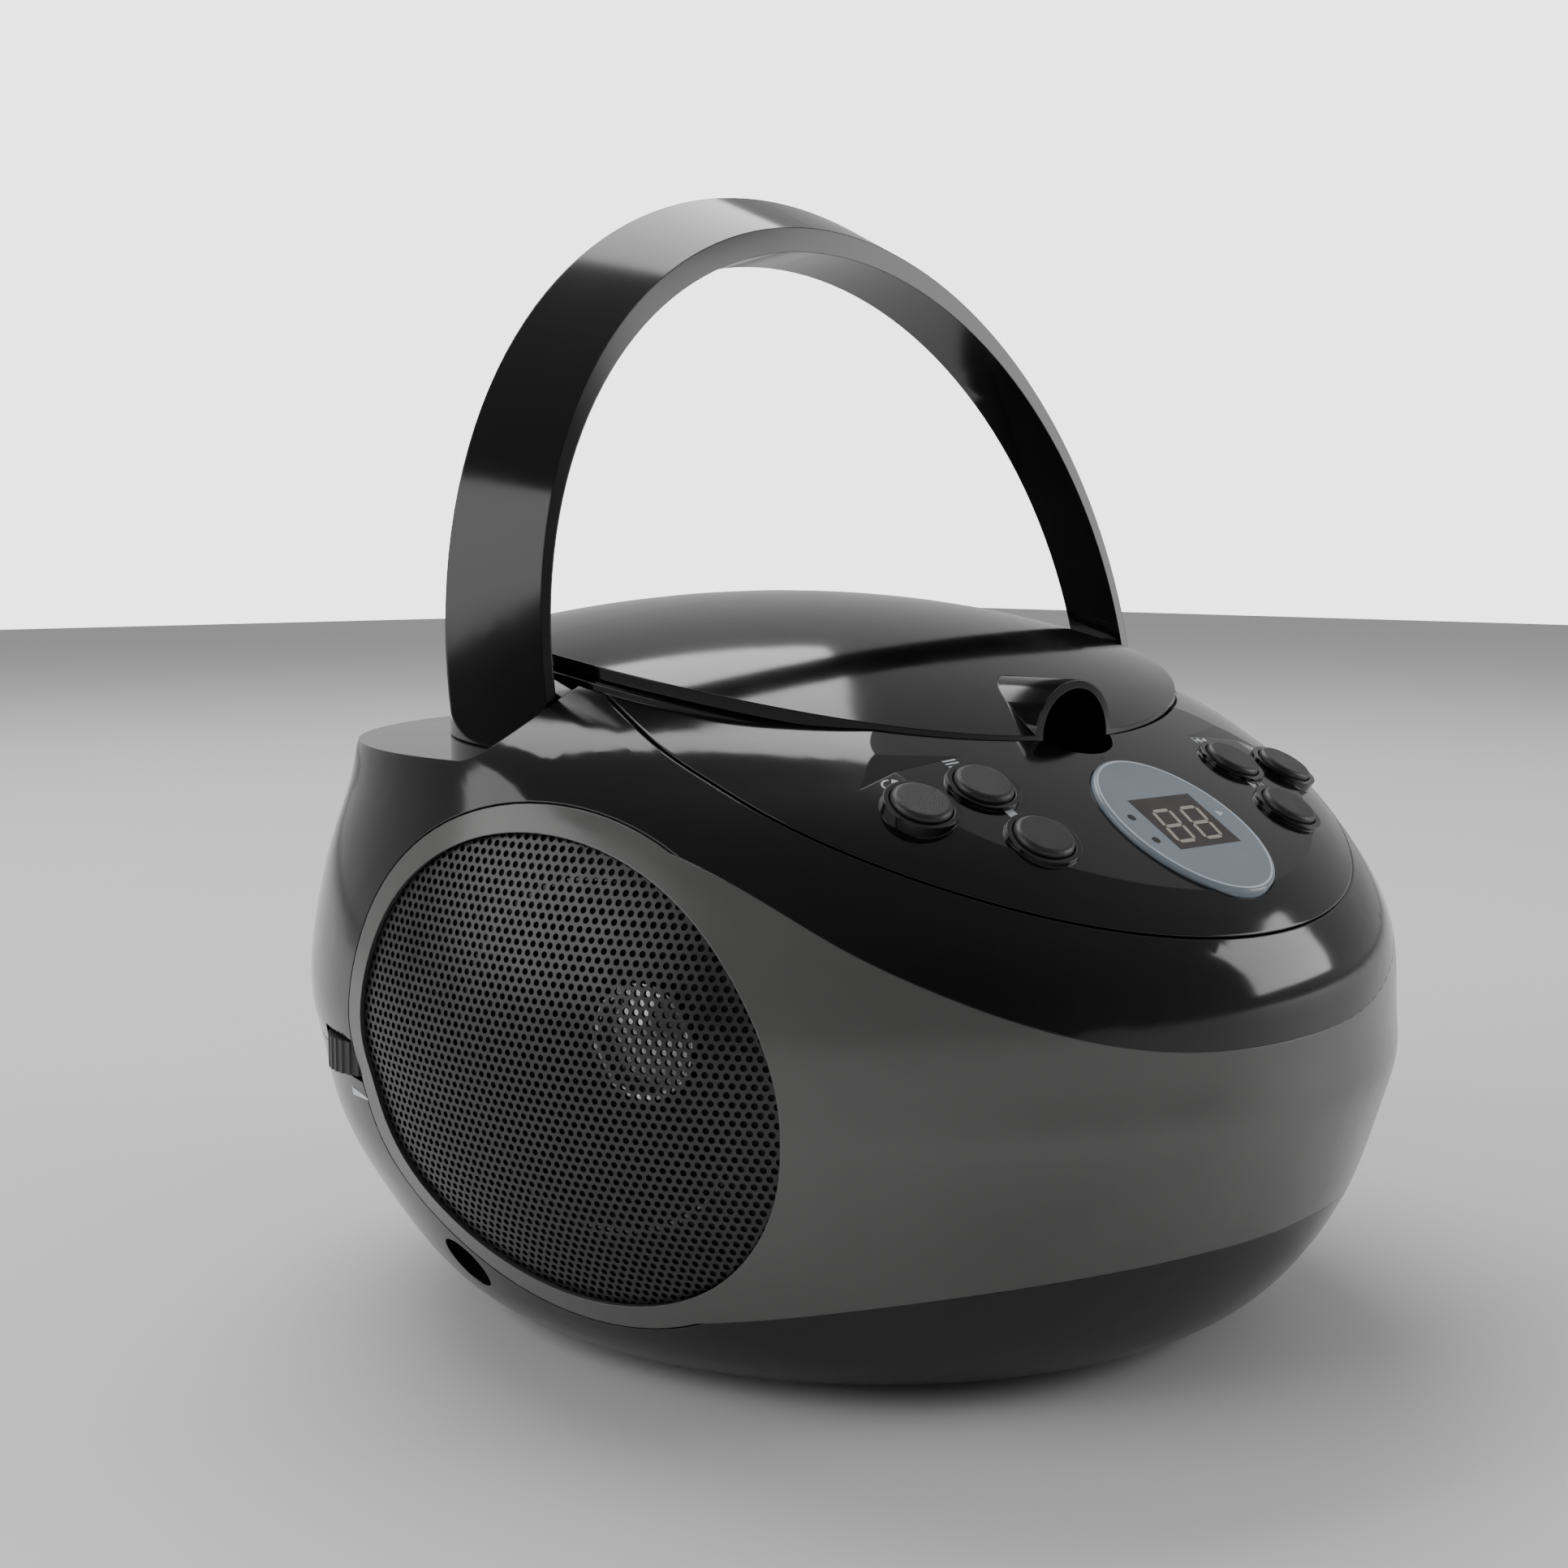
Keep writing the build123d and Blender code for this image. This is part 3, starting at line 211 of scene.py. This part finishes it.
def grille(side, word):
    """Domed plate with a honeycomb of round holes, laid on the CAD grille's outer face."""
    node = f"{word}_grille"
    surface = solid_surface(node)
    out = Vector((side * math.sin(TURN), -math.cos(TURN), 0))
    front = Vector((-side * math.cos(TURN), -math.sin(TURN), 0))
    start = out * RAY_FROM - front * OVAL_BACK + Vector((0, 0, OVAL_Z))
    # the oval's own axes: its long axis leans forward at the top on both sides
    ca, sa = math.cos(OVAL_ROLL), math.sin(OVAL_ROLL)
    found = {}

    def inside(u, v, scale=1.0):
        a, b = u * ca - v * sa, v * ca + u * sa
        return (a / OVAL_A) ** 2 + (b / OVAL_B) ** 2 <= scale

    def on_edge(u, v):
        a, b = u * ca - v * sa, v * ca + u * sa
        r = math.sqrt((a / OVAL_A) ** 2 + (b / OVAL_B) ** 2)
        return (u / r, v / r) if r > 1 else (u, v)

    def land(u, v):
        key = (round(u, 3), round(v, 3))
        if key not in found:
            point = (start + front * (u * RIM_PULL) + Vector((0, 0, v * RIM_PULL))) * MM
            hit = surface.ray_cast(point, -out)[0]
            found[key] = hit
        return found[key]

    verts, faces = [], []
    ring = [math.radians(360 / SIDES * k) for k in range(SIDES)]
    cell = PITCH / math.sqrt(3)
    step = PITCH * math.sqrt(3) / 2
    for row in range(-REACH, REACH + 1):
        for col in range(-REACH, REACH + 1):
            cu = col * PITCH + (PITCH / 2 if row % 2 else 0)
            cv = row * step
            if not inside(cu, cv, 1.02):
                continue
            base = len(verts)
            good = True
            for k, t in enumerate(ring):
                reach = cell if k % 2 else cell * math.cos(math.radians(30))
                for r, depth in ((reach, 0), (HOLE, 0), (HOLE, PLATE_T), (reach, PLATE_T)):
                    u, v = on_edge(cu + r * math.cos(t), cv + r * math.sin(t))
                    hit = land(u, v)
                    if hit is None:
                        good = False
                        break
                    verts.append(hit - out * depth * MM)
                if not good:
                    break
            if not good:
                del verts[base:]
                continue
            for k in range(SIDES):
                a, b = base + 4 * k, base + 4 * ((k + 1) % SIDES)
                quads = [[a, b, b + 1, a + 1], [a + 1, b + 1, b + 2, a + 2], [a + 2, b + 2, b + 3, a + 3]]
                faces += quads if side > 0 else [q[::-1] for q in quads]
    obj = make_mesh(f"{word}_mesh_plate", verts, faces, LOOKS["grille_black"], "case", smooth=35)
    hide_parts(node)
    return obj


grille(-1, "left")
grille(1, "right")


# ---------------------------------------------------------------- loudspeaker dust caps
def dust_cap(side, word):
    """Bright pressed dome with a rolled rim, in place of the plain cap."""
    node = f"{word}_dust_cap"
    lo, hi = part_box(node)
    middle = (Vector(lo) + Vector(hi)) / 2
    out = Vector((side * math.sin(TURN), -math.cos(TURN), 0))
    flat = Vector((-side * math.cos(TURN), -math.sin(TURN), 0))
    top = max(v.co.dot(out) for v in nodes[node].data.vertices)
    centre = middle + out * (top - middle.dot(out))
    rise = [(0, 0.0), (2.5, -0.12), (5, -0.5), (7.5, -1.2), (9.5, -2.1), (10.7, -2.9), (11.1, -3.0),
            (11.5, -2.7), (12.0, -2.55), (12.3, -2.8), (12.35, -3.5)]
    verts, faces = [centre], []
    count = 48
    for r, h in rise[1:]:
        for k in range(count):
            t = 2 * math.pi * k / count
            verts.append(centre + (flat * r * math.cos(t) + Vector((0, 0, r * math.sin(t))) + out * h) * MM)
    for k in range(count):
        faces.append([0, 1 + k, 1 + (k + 1) % count])
    for j in range(len(rise) - 2):
        for k in range(count):
            a, b = 1 + j * count + k, 1 + j * count + (k + 1) % count
            faces.append([a, a + count, b + count, b])
    if side < 0:
        faces = [f[::-1] for f in faces]
    obj = make_mesh(f"{word}_dome_cap", verts, faces, LOOKS["aluminium"], f"{word}_cone", smooth=60)
    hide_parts(node)


dust_cap(-1, "left")
dust_cap(1, "right")

# ---------------------------------------------------------------- display
centre, normal = top_plane("display_lens")
across, up = axes_on(normal)


def oval(a, b, count=72):
    turns = [2 * math.pi * k / count for k in range(count)]
    return [(a * math.cos(t), b * math.sin(t)) for t in turns]


def oval_band(name, a1, b1, a2, b2, mat, thick, lift, body="case"):
    """Flat closed band between two ovals on the display's face."""
    outer, inner = oval(a1, b1), oval(a2, b2)
    n = len(outer)
    verts = []
    for h in (lift, lift + thick):
        for x, y in outer + inner:
            verts.append(centre + (across * x + up * y + normal * h) * MM)
    faces = []
    for i in range(n):
        j = (i + 1) % n
        faces.append([2 * n + i, 2 * n + j, 3 * n + j, 3 * n + i])
        faces.append([n + i, n + j, j, i])
        faces.append([i, j, 2 * n + j, 2 * n + i])
        faces.append([n + j, n + i, 3 * n + i, 3 * n + j])
    return make_mesh(name, verts, faces, mat, body, smooth=40)


oval_band("display_rim", 16.75, 20.95, 16.3, 20.5, rim_pale, 0.05, -0.01)
window_at = centre + (across * 0.6 + up * 0.5) * MM
plate("digit_window", [(-9.4, -8.0), (9.4, -8.0), (9.4, 8.0), (-9.4, 8.0)], window_at, normal, window_dark,
      "case", thick=0.04, lift=0.0)


LEAN = 0.16  # how far a figure leans, as a share of its height


def segment(length, width, tip):
    """Outline of one display segment, along X."""
    return [(-length / 2, 0), (-length / 2 + tip, width / 2), (length / 2 - tip, width / 2), (length / 2, 0),
            (length / 2 - tip, -width / 2), (-length / 2 + tip, -width / 2)]


def digit(name, x0, y0, size, on):
    """Seven-segment figure that leans forward."""
    w, h = size * 0.52, size
    bars = {
        "a": (0, h / 2, 0), "g": (0, 0, 0), "d": (0, -h / 2, 0),
        "b": (w / 2, h / 4, 90), "c": (w / 2, -h / 4, 90),
        "f": (-w / 2, h / 4, 90), "e": (-w / 2, -h / 4, 90),
    }
    for key in on:
        x, y, turn = bars[key]
        shape = segment((w if turn == 0 else h / 2) * 0.93, 0.95, 0.45)
        c, d = math.cos(math.radians(turn)), math.sin(math.radians(turn))
        pts = [(x + px * c - py * d, y + px * d + py * c) for px, py in shape]
        pts = [(x0 + px + LEAN * py, y0 + py) for px, py in pts]
        plate(f"{name}_{key}", pts, window_at, normal, segment_beige, "case", thick=0.02, lift=0.05)


digit("digit_tens", -4.3, -1.0, 9.6, "abcdefg")
digit("digit_ones", 4.1, -1.0, 9.6, "abcdefg")
for i, (x, y) in enumerate(((-12.6, 3.4), (-12.6, -3.9))):
    dot_at = centre + (across * x + up * y) * MM
    plate(f"signal_dot_{i + 1}", oval(0.95, 0.95, 24), dot_at, normal, inside_black, "case", thick=0.03,
          lift=0.0)
plate("play_mark", [(-0.9, -1.0), (1.0, 0), (-0.9, 1.0)], centre + (across * 13.0 + up * 1.5) * MM, normal,
      print_white, "case", thick=0.03, lift=0.0)

# ---------------------------------------------------------------- printed signs by the buttons
panel_surface = solid_surface("top_panel")
TRIANGLE = [(-1.0, -1.15), (1.1, 0), (-1.0, 1.15)]


def sign(name, button, shapes, away=10.4):
    """Small printed shapes on the panel, just behind a button."""
    at, n = top_plane(button)
    up_dir = axes_on(n)[1]
    spot = at + up_dir * away * MM
    hit, face, _, _ = panel_surface.ray_cast(spot + Vector((0, 0, 0.02)), Vector((0, 0, -1)))
    for i, shape in enumerate(shapes):
        plate(f"{name}_{i + 1}", shape, hit, face, print_white, "case", thick=0.03, lift=0.01)


def moved(shape, dx, dy=0.0):
    return [(x + dx, y + dy) for x, y in shape]


def box_shape(w, h):
    return [(-w / 2, -h / 2), (w / 2, -h / 2), (w / 2, h / 2), (-w / 2, h / 2)]


def mirrored(shape):
    return [(-x, y) for x, y in reversed(shape)]


def arc_shape(radius, width, start, stop, count=18):
    ts = [math.radians(start + (stop - start) * k / count) for k in range(count + 1)]
    far = [((radius + width / 2) * math.cos(t), (radius + width / 2) * math.sin(t)) for t in ts]
    near = [((radius - width / 2) * math.cos(t), (radius - width / 2) * math.sin(t)) for t in ts]
    return far + near[::-1]


sign("sign_stop", "stop_button", [box_shape(2.2, 2.2)])
bar = box_shape(0.6, 2.2)
sign("sign_play", "play_button", [moved(TRIANGLE, -1.3), moved(bar, 1.1), moved(bar, 2.2)])
stop_bar = box_shape(0.5, 2.2)
back = mirrored(TRIANGLE)
sign("sign_rewind", "rewind_button", [moved(back, -1.1), moved(back, 1.1), moved(stop_bar, -2.5)])
sign("sign_forward", "forward_button", [moved(TRIANGLE, -1.1), moved(TRIANGLE, 1.1), moved(stop_bar, 2.5)])
sign("sign_program", "program_button", [moved(box_shape(3.4, 0.45), 0, d) for d in (-1.0, 0, 1.0)])
arrow_head = moved([(-0.9, 0.0), (0.9, 0.0), (0, 1.1)], 1.5, 0.2)
sign("sign_repeat", "repeat_button", [arc_shape(1.5, 0.42, 60, 370), arrow_head])

# ---------------------------------------------------------------- printed wedge under the volume slot
WEDGE_TURN, WEDGE_DROP = math.radians(101), 0.0042


def volume_wedge():
    """Printed wedge on the case under the volume wheel, wider at the loud end."""
    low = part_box("volume_wheel")[0]
    out = Vector((-math.sin(WEDGE_TURN), -math.cos(WEDGE_TURN), 0))
    start = out * 0.2 + Vector((0, 0, low[2] - WEDGE_DROP))
    hit, face, _, _ = solid_surface("lower_housing").ray_cast(start, -out)
    if face.dot(out) < 0:
        face = -face
    along = Vector((0, 0, 1)).cross(face).normalized()
    rise = face.cross(along)
    verts = []
    for lift in (0.02, 0.06):
        for x, y in ((-4.6, -0.9), (4.6, -0.2), (4.6, 0.2), (-4.6, 0.9)):
            verts.append(hit + (along * x + rise * y + face * lift) * MM)
    faces = [[4, 5, 6, 7], [3, 2, 1, 0], [0, 1, 5, 4], [1, 2, 6, 5], [2, 3, 7, 6], [3, 0, 4, 7]]
    make_mesh("volume_wedge", verts, faces, print_white, "case", smooth=None)


volume_wedge()

# ---------------------------------------------------------------- floor, light and camera
bpy.ops.mesh.primitive_plane_add(size=8, location=(0, 0, 0))
floor = bpy.context.object
floor.name = "floor"
floor_mat = plastic("floor_paper", (0.92, 0.92, 0.92), 0.6, 0.04, 0.01, 3, specular=0.2)
floor.data.materials.append(floor_mat)

world = bpy.data.worlds.new("studio")
bpy.context.scene.world = world
world.use_nodes = True
sky = world.node_tree
backdrop = sky.nodes["Background"]
backdrop.inputs["Color"].default_value = (1, 1, 1, 1)
backdrop.inputs["Strength"].default_value = 3.2
# the room that the object reflects: darker on the front left, brighter behind
room = sky.nodes.new("ShaderNodeBackground")
direction = sky.nodes.new("ShaderNodeTexCoord")
facing = sky.nodes.new("ShaderNodeVectorMath")
facing.operation = "DOT_PRODUCT"
facing.inputs[1].default_value = (-0.66, -0.72, 0.2)
room_level = sky.nodes.new("ShaderNodeMapRange")
room_level.inputs["From Min"].default_value = -1.0
room_level.inputs["From Max"].default_value = 0.9
room_level.inputs["To Min"].default_value = 0.75
room_level.inputs["To Max"].default_value = 0.12
sky.links.new(direction.outputs["Generated"], facing.inputs[0])
sky.links.new(facing.outputs["Value"], room_level.inputs["Value"])
sky.links.new(room_level.outputs["Result"], room.inputs["Strength"])
ray = sky.nodes.new("ShaderNodeLightPath")
either = sky.nodes.new("ShaderNodeMixShader")
sky.links.new(ray.outputs["Is Camera Ray"], either.inputs["Fac"])
sky.links.new(room.outputs["Background"], either.inputs[1])
sky.links.new(backdrop.outputs["Background"], either.inputs[2])
sky.links.new(either.outputs["Shader"], sky.nodes["World Output"].inputs["Surface"])


def area_light(name, place, aim, width, height, watts):
    data = bpy.data.lights.new(name, "AREA")
    data.shape = "RECTANGLE"
    data.size, data.size_y = width, height
    data.energy = watts
    obj = bpy.data.objects.new(name, data)
    obj.location = place
    obj.rotation_euler = (Vector(aim) - Vector(place)).to_track_quat("-Z", "Y").to_euler()
    bpy.context.scene.collection.objects.link(obj)


area_light("left_bank", (-1.4, 0.5, 0.75), (0, 0, 0.1), 1.3, 1.2, 13)
area_light("top_bank", (0.3, 1.0, 1.7), (0, 0, 0.1), 1.8, 0.9, 22)
area_light("front_card", (1.3, -1.0, 0.55), (0, 0, 0.08), 0.8, 0.8, 9)

CAMERA_PLACE = (-0.3435, -0.3729, 0.1675)
CAMERA_TILT, CAMERA_HEADING = math.radians(83.8), math.radians(-41)
camera_data = bpy.data.cameras.new("camera")
camera_data.lens = 50.3
camera_data.sensor_width = 36
camera_data.clip_start = 0.02
camera = bpy.data.objects.new("camera", camera_data)
camera.location = CAMERA_PLACE
camera.rotation_euler = (CAMERA_TILT, 0, CAMERA_HEADING)
bpy.context.scene.collection.objects.link(camera)
bpy.context.scene.camera = camera
